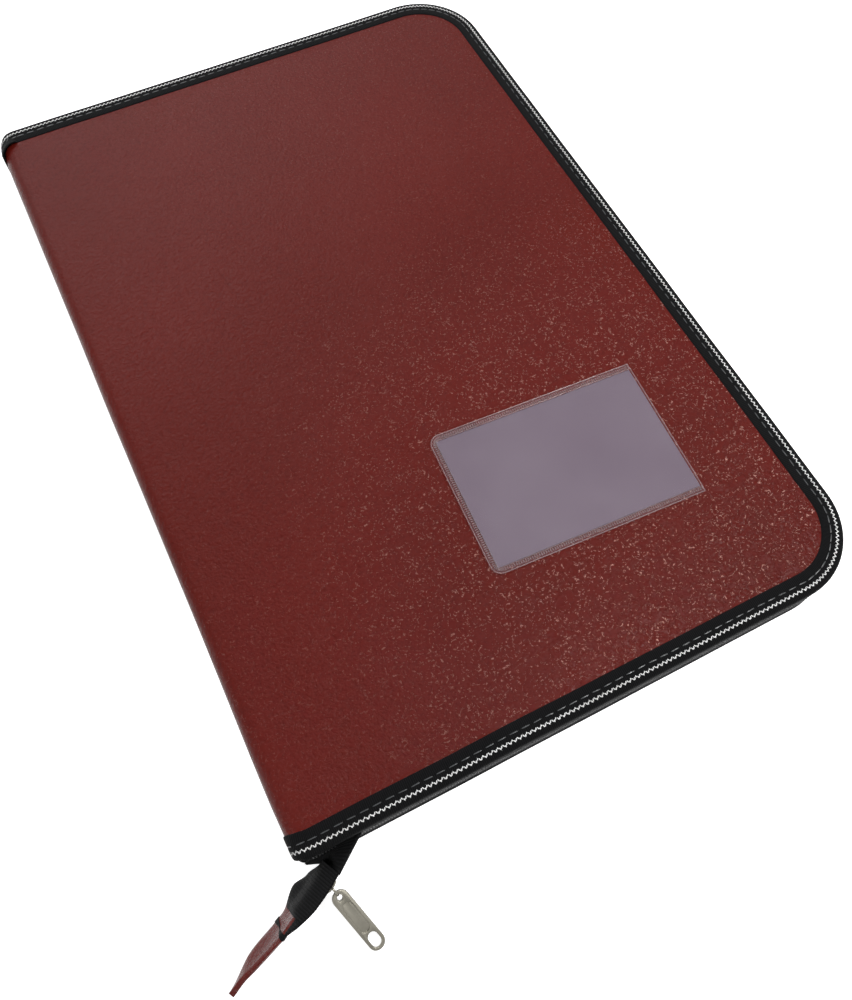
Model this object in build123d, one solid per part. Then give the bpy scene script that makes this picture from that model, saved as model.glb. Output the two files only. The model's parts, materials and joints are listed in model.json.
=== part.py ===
from build123d import *
import math
import os

# A zipped document folder lying closed, in millimetres. X runs from the spine to the fore edge,
# Y from the bottom edge to the top edge, Z up. The origin is the middle of the back cover's
# underside, so the folder rests on Z = 0.

# Overall size
folder_width = 267.0
folder_length = 396.0
folder_thickness = 24.0
corner_radius = 35.0

# Cover sandwich, from the outside in
skin_thickness = 0.8
board_thickness = 2.2
lining_thickness = 0.4
fold_radius = 6.0
fold_gap = 0.15

# Spine wall
spine_board_thickness = 1.2

# Ribbed edge binding, a channel over the cover's edge, and the zigzag braid let into it
binding_outer_leg = 9.7
binding_inner_leg = 6.0
binding_thickness = 0.8
braid_inset = 1.5
braid_width = 2.0
braid_thickness = 0.3

# Zipper on the two side walls
zip_tape_thickness = 0.7
zip_foot_width = 7.0
zip_wall_inset = 0.5
zip_wall_start = 3.0
coil_height = 1.5
coil_width = 1.6
coil_inset = 0.2
coil_gap = 0.4
stop_length = 2.0
stop_wrap = 0.15
stop_joint = 0.2

# Pocket for a name card on the front cover
pocket_width = 101.0
pocket_height = 70.5
pocket_from_fore_edge = 97.0
pocket_from_bottom = 97.0
pocket_turn = -3.3
pocket_backing_thickness = 0.3
pocket_film_thickness = 0.3
pocket_cavity = 0.8
pocket_weld = 2.6
pocket_corner = 5.0
card_thickness = 0.4
card_clearance = 0.5

# Pockets inside the covers
inner_pocket_strip_gap = 10.0
inner_pocket_height = 196.0
inner_pocket_sheet = 0.4
inner_pocket_seam = 3.0
inner_pocket_depth = 0.4
inner_pocket_from_bottom = 26.0

# Clear sleeves bound to a strip beside the spine
sleeve_count = 5
sleeve_fore_margin = 15.7
sleeve_end_margin = 28.0
sleeve_thickness = 0.45
sleeve_spacing = 0.72
sleeve_crease_gap = 0.3
sleeve_corner = 4.0
strip_width = 12.0
strip_thickness = 1.0
strip_offset = 7.0
screw_count = 4
screw_end_margin = 27.5
screw_diameter = 4.0
screw_head_diameter = 7.5
screw_head_thickness = 0.8
screw_clearance = 0.1

# Loose end of the zipper at the bottom corner of the spine
tail_width = 24.0
tail_lean = 18.0
tail_heading = 207.1
tail_slider_x = 6.0
tail_slider_y = -7.5
tail_floor_clearance = 0.1
tail_tape_thickness = 0.9
tail_start = 5.5
tail_coil_half_gap = 1.0
tail_coil_width = 1.3
tail_coil_thickness = 1.8
tail_swing_gap = 0.9

# Link from the bottom wall to the loose end
gusset_thickness = 1.2
gusset_clearance = 0.4

# Leatherette tab on the loose end and the band round it
tab_start = 13.5
tab_length = 36.0
tab_thickness = 2.2
tab_slot_depth = 4.5
tab_tip_rise = 1.5
band_offset = 6.5
band_width = 2.5
band_thickness = 0.3

# Slider on the loose end
slider_length = 10.0
slider_front_width = 8.6
slider_rear_width = 7.0
slider_plate = 0.9
slider_clearance = 0.3
slider_nose_length = 2.5
slider_nose_width = 1.4
bridge_length = 6.4
bridge_width = 1.6
bridge_post = 0.9
bridge_bar = 0.8
bridge_room = 2.5

# Pull tab
pull_length = 30.0
pull_width = 7.0
pull_thickness = 1.6
pull_angle = 10.4
pull_recess = 0.35
pull_rim = 0.9
pull_window_length = 7.0
pull_eye_radius = 1.9
pull_eye_wire = 0.9
pull_eye_thickness = 0.8
pull_eye_room = 1.2
pull_hole_diameter = 2.4

# Places worked out from the sizes above
spine_x = -folder_width / 2
fore_x = folder_width / 2
bottom_y = -folder_length / 2
flat_start = spine_x + fold_radius
lining_top = skin_thickness + board_thickness + lining_thickness
mid_height = folder_thickness / 2
wall_start = spine_x + zip_wall_start
strip_x = spine_x + strip_offset
sleeve_x = strip_x + strip_width + sleeve_crease_gap
sleeve_width = fore_x - sleeve_fore_margin - sleeve_x
sleeve_height = folder_length - 2 * sleeve_end_margin
stack_base = lining_top + strip_thickness
stack_height = sleeve_count * sleeve_spacing
screw_pitch = (sleeve_height - 2 * screw_end_margin) / (screw_count - 1)
pocket_middle_x = fore_x - pocket_from_fore_edge
pocket_middle_y = bottom_y + pocket_from_bottom
front_plane = Plane.XY.offset(mid_height)

os.makedirs("parts", exist_ok=True)


def save(shape, name):
    shape.label = name
    export_step(shape, f"parts/{name}.step")


def slab(plan, low, high):
    return Pos(0, 0, low) * extrude(plan, amount=high - low)


def block(x_low, x_high, y_low, y_high, z_low, z_high):
    size = (x_high - x_low, y_high - y_low, z_high - z_low)
    middle = Pos((x_low + x_high) / 2, (y_low + y_high) / 2, (z_low + z_high) / 2)
    return middle * Box(*size)


def to_front(shape):
    return mirror(shape, about=front_plane)


def cover_plan(left, inset):
    # Outline of a cover, drawn in by inset from its three free edges, round at the fore corners
    right = fore_x - inset
    plan = Pos((left + right) / 2, 0) * Rectangle(right - left, folder_length - 2 * inset)
    fore_corners = plan.vertices().sort_by(Axis.X)[-2:]
    return fillet(fore_corners, corner_radius - inset)


def edge_band(left, outer_inset, inner_inset):
    # A band along the three free edges, open towards the spine
    return cover_plan(left, outer_inset) - cover_plan(left - 1, inner_inset)


def fold(y_low, y_high):
    # Quarter roll of the skin from the cover down to the spine wall
    plane = Plane(origin=(flat_start, y_high, fold_radius), x_dir=(1, 0, 0), z_dir=(0, -1, 0))
    ring = Circle(fold_radius) - Circle(fold_radius - skin_thickness)
    quarter = ring & Pos(-fold_radius / 2, -fold_radius / 2) * Rectangle(fold_radius, fold_radius)
    return extrude(plane * quarter, amount=y_high - y_low)


def cover_skin():
    panel = slab(cover_plan(flat_start, binding_outer_leg), 0, skin_thickness)
    reach = folder_length / 2 - binding_outer_leg
    return panel + fold(-reach, reach)


def cover_board():
    return slab(
        cover_plan(flat_start, binding_thickness), skin_thickness, skin_thickness + board_thickness
    )


def cover_lining():
    return slab(cover_plan(flat_start, binding_inner_leg), lining_top - lining_thickness, lining_top)


def cover_braid():
    return slab(edge_band(flat_start, braid_inset, braid_inset + braid_width), 0, braid_thickness)


def cover_binding():
    half = folder_length / 2
    outer = slab(edge_band(flat_start, 0, binding_outer_leg), 0, skin_thickness)
    edge = slab(
        edge_band(flat_start, 0, binding_thickness), skin_thickness, skin_thickness + board_thickness
    )
    inner = slab(
        edge_band(flat_start, 0, binding_inner_leg), lining_top - lining_thickness, lining_top
    )
    ends = fold(-half, -half + binding_outer_leg) + fold(half - binding_outer_leg, half)
    return outer + edge + inner + ends - cover_braid()


def zip_tape():
    foot_top = lining_top + zip_tape_thickness
    wall_top = mid_height - coil_gap / 2 - coil_height
    foot = slab(
        edge_band(flat_start, zip_wall_inset, zip_wall_inset + zip_foot_width), lining_top, foot_top
    )
    wall = slab(
        edge_band(wall_start, zip_wall_inset, zip_wall_inset + zip_tape_thickness), foot_top, wall_top
    )
    return foot + wall


def zip_coil():
    top = mid_height - coil_gap / 2
    start = wall_start + stop_length + stop_joint
    return slab(edge_band(start, coil_inset, coil_inset + coil_width), top - coil_height, top)


def zip_stop():
    # Metal stop clamped at the coil's end beside the spine, on the top edge
    top = mid_height - coil_gap / 2
    y_outer = folder_length / 2 - coil_inset + stop_wrap
    y_inner = y_outer - coil_width - 2 * stop_wrap
    return block(wall_start, wall_start + stop_length, y_inner, y_outer, top - coil_height, top)


def inner_pocket():
    # A sheet held by a seam on three sides, open towards the top edge
    low = bottom_y + inner_pocket_from_bottom
    high = low + inner_pocket_height
    left = strip_x + strip_width + inner_pocket_strip_gap
    right = fore_x - binding_inner_leg - zip_foot_width
    base = lining_top
    sheet_low = base + inner_pocket_depth
    sheet = block(left, right, low, high, sheet_low, sheet_low + inner_pocket_sheet)
    rim = block(left, right, low, high, base, sheet_low)
    room = block(
        left + inner_pocket_seam, right - inner_pocket_seam, low + inner_pocket_seam, high, base, sheet_low
    )
    return sheet + (rim - room)


def spine_wall(x_low, x_high, y_half):
    return block(
        x_low, x_high, -y_half, y_half, fold_radius + fold_gap, folder_thickness - fold_radius - fold_gap
    )


def spine_layers():
    half = folder_length / 2
    skin_x = spine_x + skin_thickness
    board_x = skin_x + spine_board_thickness
    reach = half - binding_outer_leg
    save(spine_wall(spine_x, skin_x, reach), "spine_skin")
    save(spine_wall(skin_x, board_x, half - binding_thickness), "spine_board")
    save(spine_wall(board_x, board_x + lining_thickness, half - binding_inner_leg), "spine_lining")
    channel = spine_wall(spine_x, board_x + lining_thickness, half)
    channel -= spine_wall(spine_x, skin_x, reach)
    channel -= spine_wall(skin_x, board_x, half - binding_thickness)
    channel -= spine_wall(board_x, board_x + lining_thickness, half - binding_inner_leg)
    save(channel, "spine_binding")


def covers():
    layers = {
        "skin": cover_skin(),
        "board": cover_board(),
        "lining": cover_lining(),
        "binding": cover_binding(),
        "zigzag_braid": cover_braid(),
        "zip_tape": zip_tape(),
        "zip_coil": zip_coil(),
        "zip_stop": zip_stop(),
    }
    for name, shape in layers.items():
        save(shape, f"back_{name}")
        save(to_front(shape), f"front_{name}")
    save(inner_pocket(), "back_inner_pocket")
    save(to_front(inner_pocket()), "front_inner_pocket")


def pocket_plan(width, height, shift):
    # Sheet of the card pocket, round at the two corners away from the open side
    plan = Pos(shift, 0) * Rectangle(width, height)
    closed_corners = plan.vertices().sort_by(Axis.X)[:2]
    return fillet(closed_corners, pocket_corner)


def card_pocket():
    place = Pos(pocket_middle_x, pocket_middle_y, folder_thickness) * Rot(0, 0, pocket_turn)
    cavity_low = pocket_backing_thickness
    cavity_high = cavity_low + pocket_cavity
    whole = pocket_plan(pocket_width, pocket_height, 0)
    room_height = pocket_height - 2 * pocket_weld
    room = Pos(pocket_weld, 0) * Rectangle(pocket_width, room_height)
    save(place * slab(whole, 0, cavity_low), "pocket_backing")
    save(place * slab(whole - room, cavity_low, cavity_high), "pocket_welded_border")
    save(place * slab(whole, cavity_high, cavity_high + pocket_film_thickness), "pocket_film")
    card_width = pocket_width - pocket_weld - 2 * card_clearance
    card = Pos(pocket_weld / 2, 0) * Rectangle(card_width, room_height - 2 * card_clearance)
    card_low = cavity_low + (pocket_cavity - card_thickness) / 2
    save(place * slab(card, card_low, card_low + card_thickness), "name_card")


def screw_places():
    first = -(screw_count - 1) * screw_pitch / 2
    return [first + number * screw_pitch for number in range(screw_count)]


def sleeves():
    half = sleeve_height / 2
    x_high = strip_x + strip_width
    middle_x = strip_x + strip_width / 2
    low = block(strip_x, x_high, -half, half, lining_top, stack_base)
    edges = block(strip_x, x_high, -half, half, stack_base, stack_base + stack_height)
    top = stack_base + stack_height
    high = block(strip_x, x_high, -half, half, top, top + strip_thickness)
    head_low = lining_top
    shank_low = lining_top + screw_head_thickness
    shank_high = top + strip_thickness
    holes = Part()
    screws = []
    for y in screw_places():
        place = Pos(middle_x, y)
        bore_radius = screw_diameter / 2 + screw_clearance
        holes += place * slab(Circle(bore_radius), lining_top, shank_high)
        holes += place * slab(Circle(screw_head_diameter / 2 + screw_clearance), head_low, shank_low)
        screw = place * slab(Circle(screw_head_diameter / 2), head_low, shank_low)
        screw += place * slab(Circle(screw_diameter / 2), shank_low, shank_high)
        cap_top = shank_high + screw_head_thickness
        screw += place * slab(Circle(screw_head_diameter / 2), shank_high, cap_top)
        screws.append(screw)
    save(low - holes, "sleeve_strip_lower")
    save(edges - holes, "sleeve_edge_stack")
    save(high - holes, "sleeve_strip_upper")
    save(Compound(children=screws), "binding_screws")
    for number in range(sleeve_count):
        base = stack_base + (number + 0.5) * sleeve_spacing - sleeve_thickness / 2
        plan = Pos(sleeve_x + sleeve_width / 2, 0) * Rectangle(sleeve_width, sleeve_height)
        fore_corners = plan.vertices().sort_by(Axis.X)[-2:]
        leaf = slab(fillet(fore_corners, sleeve_corner), base, base + sleeve_thickness)
        save(leaf, f"sleeve_{number + 1}")


# The loose end is drawn flat and then stood up: local X runs towards its tip, local Y across the
# tape and up, local Z into its face, away from the slider's bridge.
lean = math.radians(tail_lean)
heading = math.radians(tail_heading)
run = Vector(math.cos(heading), math.sin(heading), 0)
away = Vector(-math.sin(heading), math.cos(heading), 0)
across = away * math.sin(lean) + Vector(0, 0, math.cos(lean))
out = away * math.cos(lean) - Vector(0, 0, math.sin(lean))
tail_low_edge = tail_width / 2 + band_thickness
tail_height = (
    tail_low_edge * math.cos(lean)
    + (tab_thickness / 2 + band_thickness) * math.sin(lean)
    + tail_floor_clearance
)
tail_origin = Vector(spine_x + tail_slider_x, bottom_y + tail_slider_y, tail_height)
tail_plane = Plane(origin=tuple(tail_origin), x_dir=tuple(run), z_dir=tuple(out * -1))


def stand(shape):
    return tail_plane.location * shape


def tail_tapes():
    half = tail_width / 2
    edge = tail_coil_half_gap + tail_coil_width
    end = tab_start + tab_slot_depth
    thick = tail_tape_thickness / 2
    coil_thick = tail_coil_thickness / 2
    lower = block(-tail_start, end, -half, -edge, -thick, thick)
    upper = block(-tail_start, end, edge, half, -thick, thick)
    coil_low = block(-tail_start, tab_start, -edge, -tail_coil_half_gap, -coil_thick, coil_thick)
    coil_high = block(-tail_start, tab_start, tail_coil_half_gap, edge, -coil_thick, coil_thick)
    save(stand(lower), "tail_back_tape")
    save(stand(upper), "tail_front_tape")
    save(Compound(children=[stand(coil_low), stand(coil_high)]), "tail_coil")


def tab_outline(grow):
    half = tail_width / 2
    tip = tab_start + tab_length
    points = [
        (tab_start, -half - grow),
        (tip, -half - grow),
        (tip, -half + tab_tip_rise + grow),
        (tab_start + band_offset, half * 0.7 + grow),
        (tab_start, half + grow),
    ]
    return make_face(Polyline(*points, close=True))


def tail_tab():
    thick = tab_thickness / 2
    whole = slab(tab_outline(0), -thick, thick)
    end = tab_start + tab_slot_depth
    tape_half = tail_tape_thickness / 2
    slot = block(tab_start, end, -tail_width, tail_width, -tape_half, tape_half)
    save(stand(whole - slot), "tail_tab")
    band_start = tab_start + band_offset
    wide = slab(tab_outline(band_thickness), -thick - band_thickness, thick + band_thickness)
    cut = block(band_start, band_start + band_width, -tail_width, tail_width, -tail_width, tail_width)
    save(stand((wide & cut) - whole), "tail_tab_band")


def gusset():
    # The web that carries the loose end, cut off square against the bottom wall of the covers
    half = tail_width / 2
    thick = gusset_thickness / 2
    end = -tail_start - tail_swing_gap
    plate = stand(block(end - folder_width, end, -half, half, -thick, thick))
    y_high = bottom_y - gusset_clearance
    beyond = block(spine_x, fore_x, y_high - folder_length, y_high, -folder_thickness, 2 * folder_thickness)
    save(plate & beyond, "tail_gusset")


def slider():
    half = slider_length / 2
    coil_thick = tail_coil_thickness / 2
    inner = coil_thick + slider_clearance
    outer = inner + slider_plate
    tape_slot = tail_tape_thickness / 2 + slider_clearance
    flange_inner = tail_coil_half_gap + tail_coil_width + slider_clearance
    front = slider_front_width / 2
    rear = slider_rear_width / 2
    plan = make_face(Polyline((-half, -front), (half, -rear), (half, rear), (-half, front), close=True))
    plan = fillet(plan.vertices(), slider_plate)
    body = slab(plan, -outer, outer)
    body -= block(-half, half, -flange_inner, flange_inner, -inner, inner)
    body -= block(-half, half, -front, front, -tape_slot, tape_slot)
    nose = block(
        -half + slider_plate, -half + slider_plate + slider_nose_length,
        -slider_nose_width / 2, slider_nose_width / 2, -inner, inner,
    )
    save(stand(body + nose), "slider_body")
    post_low = bridge_length / 2 - bridge_post
    bar_low = outer + bridge_room
    bar_high = bar_low + bridge_bar
    arch = block(
        -bridge_length / 2, bridge_length / 2, -bridge_width / 2, bridge_width / 2, -bar_high, -outer
    )
    arch -= block(-post_low, post_low, -bridge_width, bridge_width, -bar_low, -outer)
    save(stand(arch), "slider_bridge")
    return (bar_low + bar_high) / 2


def pull_tab(hinge_height):
    # Local X runs along the pull, local Y across it, local Z out of its broad face
    pull_run = run * math.sin(math.radians(pull_angle)) + out * math.cos(math.radians(pull_angle))
    plane = Plane(
        origin=tuple(tail_origin + out * hinge_height), x_dir=tuple(pull_run), z_dir=tuple(across)
    )
    eye_middle = pull_eye_radius - pull_eye_room
    eye_outer = pull_eye_radius + pull_eye_wire
    plate_start = eye_middle + pull_eye_radius + pull_eye_wire / 2
    plate_length = pull_length - plate_start
    half_thick = pull_thickness / 2
    plan = Pos(plate_start + plate_length / 2, 0) * Rectangle(plate_length, pull_width)
    ends = plan.vertices().sort_by(Axis.X)
    plan = fillet(ends[-2:], pull_width / 2 - 0.05)
    plan = fillet(plan.vertices().sort_by(Axis.X)[:2], pull_width / 4)
    plate = slab(plan, -half_thick, half_thick)
    window_width = pull_width - 2 * pull_rim
    window_end = pull_length - pull_rim
    window = Pos(window_end - pull_window_length / 2, 0) * SlotOverall(pull_window_length, window_width)
    plate -= slab(window, -half_thick, half_thick)
    panel_low = plate_start + pull_hole_diameter + 2 * pull_rim
    panel_high = window_end - pull_window_length - pull_rim
    panel = Pos((panel_low + panel_high) / 2, 0) * SlotOverall(panel_high - panel_low, window_width)
    plate -= slab(panel, half_thick - pull_recess, half_thick)
    plate -= slab(panel, -half_thick, pull_recess - half_thick)
    hole = Pos(plate_start + pull_rim + pull_hole_diameter / 2, 0) * Circle(pull_hole_diameter / 2)
    plate -= slab(hole, -half_thick, half_thick)
    ring = Circle(eye_outer) - Circle(pull_eye_radius)
    eye = slab(ring, -pull_eye_thickness / 2, pull_eye_thickness / 2)
    eye = Pos(eye_middle, 0, 0) * Rot(90, 0, 0) * eye
    save(plane.location * (plate + eye), "pull_tab")


covers()
spine_layers()
card_pocket()
sleeves()
tail_tapes()
tail_tab()
gusset()
pull_tab(slider())
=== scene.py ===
import json
import math

import bmesh
import bpy
from mathutils import Matrix, Vector, noise

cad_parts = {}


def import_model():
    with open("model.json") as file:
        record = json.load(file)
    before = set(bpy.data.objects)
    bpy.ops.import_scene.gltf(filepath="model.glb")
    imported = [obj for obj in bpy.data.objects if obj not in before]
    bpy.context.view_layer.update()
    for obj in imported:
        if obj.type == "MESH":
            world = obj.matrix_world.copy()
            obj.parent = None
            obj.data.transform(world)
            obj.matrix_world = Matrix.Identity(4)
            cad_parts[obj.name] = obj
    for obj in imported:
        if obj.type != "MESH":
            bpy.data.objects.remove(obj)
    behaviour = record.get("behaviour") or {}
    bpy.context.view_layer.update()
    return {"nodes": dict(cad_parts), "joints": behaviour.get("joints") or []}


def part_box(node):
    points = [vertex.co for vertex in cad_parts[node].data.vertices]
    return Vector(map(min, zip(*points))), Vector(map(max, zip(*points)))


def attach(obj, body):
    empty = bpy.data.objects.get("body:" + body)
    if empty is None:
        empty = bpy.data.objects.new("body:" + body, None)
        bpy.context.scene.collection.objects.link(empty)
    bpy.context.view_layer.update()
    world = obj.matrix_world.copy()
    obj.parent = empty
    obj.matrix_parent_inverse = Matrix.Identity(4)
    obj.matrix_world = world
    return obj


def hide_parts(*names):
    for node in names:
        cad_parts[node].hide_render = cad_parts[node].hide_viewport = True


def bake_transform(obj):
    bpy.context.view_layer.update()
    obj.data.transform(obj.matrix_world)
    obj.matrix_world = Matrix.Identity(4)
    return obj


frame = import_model()
MM = 0.001

# Places read from the frame
binding_low, binding_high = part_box("front_binding")
skin_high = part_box("front_skin")[1]
coil_low, coil_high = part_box("front_zip_coil")
film_low, film_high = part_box("pocket_film")
SPINE_X = binding_low.x
FORE_X = binding_high.x
HALF = binding_high.y
TOP = binding_high.z
MIDDLE = TOP / 2
FOLD = binding_high.z - binding_low.z
FLAT_X = SPINE_X + FOLD
LEG = FORE_X - skin_high.x
WALL_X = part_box("front_zip_tape")[0].x
COIL_X = coil_low.x
CORNER = 35 * MM
DIP_START = 3 * MM
BRAID_INSET = 3.2 * MM
RIB_PITCH = 0.8 * MM
ZIP_RIB_PITCH = 1.1 * MM
PATH_STEP = 2.5 * MM
BODY = {"front": "front_cover", "back": "back_cover"}


def hinge(name):
    return next(joint for joint in frame["joints"] if joint["name"] == name)


# Camera, fitted to the cover's edges and the card pocket in the photo

IMAGE_HEIGHT = 1000
FOCAL_PIXELS = 894.9
camera_data = bpy.data.cameras.new("camera")
camera = bpy.data.objects.new("camera", camera_data)
bpy.context.scene.collection.objects.link(camera)
bpy.context.scene.camera = camera
camera_data.sensor_width = 36
camera_data.lens = FOCAL_PIXELS / IMAGE_HEIGHT * camera_data.sensor_width
camera_right = Vector((0.89265, -0.45038, 0.01832)).normalized()
camera_ahead = Vector((0.20271, 0.36482, -0.90875)).normalized()
camera_up = camera_right.cross(camera_ahead)
turn = Matrix((camera_right, camera_up, -camera_ahead)).transposed()
camera.matrix_world = Matrix.Translation((-0.10344, -0.22946, 0.37398)) @ turn.to_4x4()
camera_data.clip_start = 0.01


# Materials

def new_material(name, color, roughness, metallic=0.0, specular=0.5):
    material = bpy.data.materials.new(name)
    material.use_nodes = True
    shader = material.node_tree.nodes["Principled BSDF"]
    shader.inputs["Base Color"].default_value = (*color, 1)
    shader.inputs["Roughness"].default_value = roughness
    shader.inputs["Metallic"].default_value = metallic
    shader.inputs["Specular IOR Level"].default_value = specular
    return material, shader


def node(material, kind, **values):
    made = material.node_tree.nodes.new(kind)
    for key, value in values.items():
        if hasattr(made, key):
            setattr(made, key, value)
        else:
            made.inputs[key.replace("_", " ")].default_value = value
    return made


def link(material, source, target):
    material.node_tree.links.new(source, target)


def place(material, kind="Object"):
    return node(material, "ShaderNodeTexCoord").outputs[kind]


def texture(material, kind, where, scale, **values):
    made = node(material, kind, Scale=scale, **values)
    link(material, where, made.inputs["Vector"])
    return made


def ramp(material, source, low, high, low_color, high_color):
    made = node(material, "ShaderNodeValToRGB")
    first, last = made.color_ramp.elements
    first.position, last.position = low, high
    first.color, last.color = (*low_color, 1), (*high_color, 1)
    link(material, source, made.inputs["Fac"])
    return made.outputs["Color"]


def spread(material, source, low, high, to_low, to_high):
    made = node(material, "ShaderNodeMapRange")
    for key, value in zip(("From Min", "From Max", "To Min", "To Max"), (low, high, to_low, to_high)):
        made.inputs[key].default_value = value
    link(material, source, made.inputs["Value"])
    return made.outputs["Result"]


def math_node(material, operation, first, second=None):
    made = node(material, "ShaderNodeMath", operation=operation)
    for socket, value in zip(made.inputs, (first, second)):
        if value is None:
            continue
        if isinstance(value, (int, float)):
            socket.default_value = value
        else:
            link(material, value, socket)
    return made.outputs[0]


def paint(material, shader, source, dark, light, low=0.3, high=0.7):
    link(material, ramp(material, source, low, high, dark, light), shader.inputs["Base Color"])


def sheen(material, shader, source, low, high):
    link(material, spread(material, source, 0.3, 0.7, low, high), shader.inputs["Roughness"])


def bump(material, shader, height, distance, strength, below=None):
    made = node(material, "ShaderNodeBump", Distance=distance, Strength=strength)
    link(material, height, made.inputs["Height"])
    if below is not None:
        link(material, below, made.inputs["Normal"])
    link(material, made.outputs["Normal"], shader.inputs["Normal"])
    return made.outputs["Normal"]


def leatherette():
    material, shader = new_material("leatherette", (0.13, 0.010, 0.006), 0.2, specular=0.1)
    where = place(material)
    warp = texture(material, "ShaderNodeTexNoise", where, 300, Detail=2.0)
    shifted = node(material, "ShaderNodeVectorMath", operation="MULTIPLY_ADD")
    link(material, warp.outputs["Color"], shifted.inputs[0])
    shifted.inputs[1].default_value = (1.6 * MM,) * 3
    link(material, where, shifted.inputs[2])
    pebbles = texture(material, "ShaderNodeTexVoronoi", shifted.outputs[0], 820, feature="SMOOTH_F1")
    domes = spread(material, pebbles.outputs["Distance"], 0.0, 0.75, 1.0, 0.0)
    wrinkles = texture(
        material, "ShaderNodeTexNoise", shifted.outputs[0], 620, Detail=4.0, Roughness=0.62, Distortion=0.6
    )
    contours = texture(
        material, "ShaderNodeTexNoise", shifted.outputs[0], 330, Detail=3.0, Roughness=0.55, Distortion=0.8
    )
    # Creases follow one level of the noise and are strongest towards the bottom fore corner; there pale
    # specks along them are painted glints
    level = math_node(material, "SUBTRACT", contours.outputs["Fac"], 0.5)
    from_crease = math_node(material, "ABSOLUTE", level)
    spot = node(material, "ShaderNodeSeparateXYZ")
    link(material, where, spot.inputs[0])
    crease_glint_low = spread(material, spot.outputs["Y"], 0.04, -0.12, 0.1, 1.0)
    crease_glint_fore = spread(material, spot.outputs["X"], -0.09, 0.03, 0.12, 1.0)
    crease_and_glint_zone = math_node(material, "MULTIPLY", crease_glint_low, crease_glint_fore)
    creases = math_node(material, "MULTIPLY", spread(material, from_crease, 0.0, 0.05, 0.0, 1.0), crease_and_glint_zone)
    breaks = texture(material, "ShaderNodeTexNoise", where, 900, Detail=1.0)
    bright = spread(material, breaks.outputs["Fac"], 0.5, 0.62, 0.0, 1.0)
    sharp = math_node(material, "MULTIPLY", spread(material, from_crease, 0.008, 0.02, 1.0, 0.0), bright)
    specks = math_node(material, "MULTIPLY", sharp, crease_and_glint_zone)
    waves = texture(material, "ShaderNodeTexNoise", where, 14, Detail=2.0)
    low = bump(material, shader, waves.outputs["Fac"], 0.0016, 0.5)
    low = bump(material, shader, creases, 0.0002, 0.8, low)
    low = bump(material, shader, domes, 0.00022, 0.6, low)
    bump(material, shader, wrinkles.outputs["Fac"], 0.0005, 0.8, low)
    clouds = texture(material, "ShaderNodeTexNoise", where, 9, Detail=3.0)
    base = ramp(
        material, clouds.outputs["Fac"], 0.3, 0.72, (0.122, 0.0090, 0.0054), (0.150, 0.0122, 0.0080)
    )
    # Painted shade: the colour darkens in the valleys of the wrinkles
    valley_shade = ramp(material, wrinkles.outputs["Fac"], 0.3, 0.55, (0.7, 0.62, 0.6), (1, 1, 1))
    mixed = node(material, "ShaderNodeMix", data_type="RGBA", blend_type="MULTIPLY")
    mixed.inputs["Factor"].default_value = 0.7
    link(material, base, mixed.inputs[6])
    link(material, valley_shade, mixed.inputs[7])
    # Painted highlight: where the specks fall, the colour turns pale pink like glints of the lamp
    lit = node(material, "ShaderNodeMix", data_type="RGBA", blend_type="MIX")
    link(material, specks, lit.inputs["Factor"])
    link(material, mixed.outputs[2], lit.inputs[6])
    lit.inputs[7].default_value = (0.62, 0.33, 0.27, 1)
    link(material, lit.outputs[2], shader.inputs["Base Color"])
    gloss = spread(material, wrinkles.outputs["Fac"], 0.35, 0.65, 0.26, 0.16)
    link(material, gloss, shader.inputs["Roughness"])
    return material


def woven_tape(name, pitch=RIB_PITCH, depth=0.00008):
    # Black tape with ribs square to its length, read from the piece's own UV map in metres
    material, shader = new_material(name, (0.006, 0.006, 0.0065), 0.7, specular=0.08)
    shader.inputs["Sheen Weight"].default_value = 0.02
    shader.inputs["Sheen Roughness"].default_value = 0.5
    split = node(material, "ShaderNodeSeparateXYZ")
    link(material, place(material, "UV"), split.inputs[0])
    along = math_node(material, "SINE", math_node(material, "MULTIPLY", split.outputs[0], math.tau / pitch))
    threads = math_node(
        material, "SINE", math_node(material, "MULTIPLY", split.outputs[1], math.tau / (0.35 * MM))
    )
    weave = math_node(material, "MULTIPLY_ADD", threads, 0.3)
    link(material, along, weave.node.inputs[2])
    fuzz = texture(material, "ShaderNodeTexNoise", place(material), 1500, Detail=2.0)
    low = bump(material, shader, fuzz.outputs["Fac"], 0.0001, 0.4)
    bump(material, shader, weave, depth, 0.8, low)
    # Painted shade: the colour darkens in the troughs between the ribs and threads
    paint(material, shader, weave, (0.0015, 0.0015, 0.0017), (0.008, 0.008, 0.009), 0.0, 1.0)
    return material


def plain_weave(name, dark, light, scale=1400):
    # Cloth seen from further off: crossed threads in the object's own space
    material, shader = new_material(name, light, 0.85, specular=0.2)
    shader.inputs["Sheen Weight"].default_value = 0.2
    where = place(material)
    split = node(material, "ShaderNodeSeparateXYZ")
    link(material, where, split.inputs[0])
    first = math_node(material, "SINE", math_node(material, "MULTIPLY", split.outputs[0], scale * 4))
    second = math_node(material, "SINE", math_node(material, "MULTIPLY", split.outputs[1], scale * 4))
    weave = math_node(material, "MULTIPLY", first, second)
    spots = texture(material, "ShaderNodeTexNoise", where, 60, Detail=4.0)
    paint(material, shader, spots.outputs["Fac"], dark, light)
    low = bump(material, shader, spots.outputs["Fac"], 0.0003, 0.2)
    bump(material, shader, weave, 0.00008, 0.4, low)
    return material


def cotton():
    material, shader = new_material("white_cotton", (0.82, 0.81, 0.79), 0.8, specular=0.2)
    shader.inputs["Sheen Weight"].default_value = 0.3
    where = place(material)
    yarn = texture(material, "ShaderNodeTexNoise", where, 2200, Detail=2.0)
    bump(material, shader, yarn.outputs["Fac"], 0.00012, 0.6)
    grime = texture(material, "ShaderNodeTexNoise", where, 45, Detail=3.0)
    paint(material, shader, grime.outputs["Fac"], (0.80, 0.79, 0.78), (0.92, 0.92, 0.92), 0.25)
    return material


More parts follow.
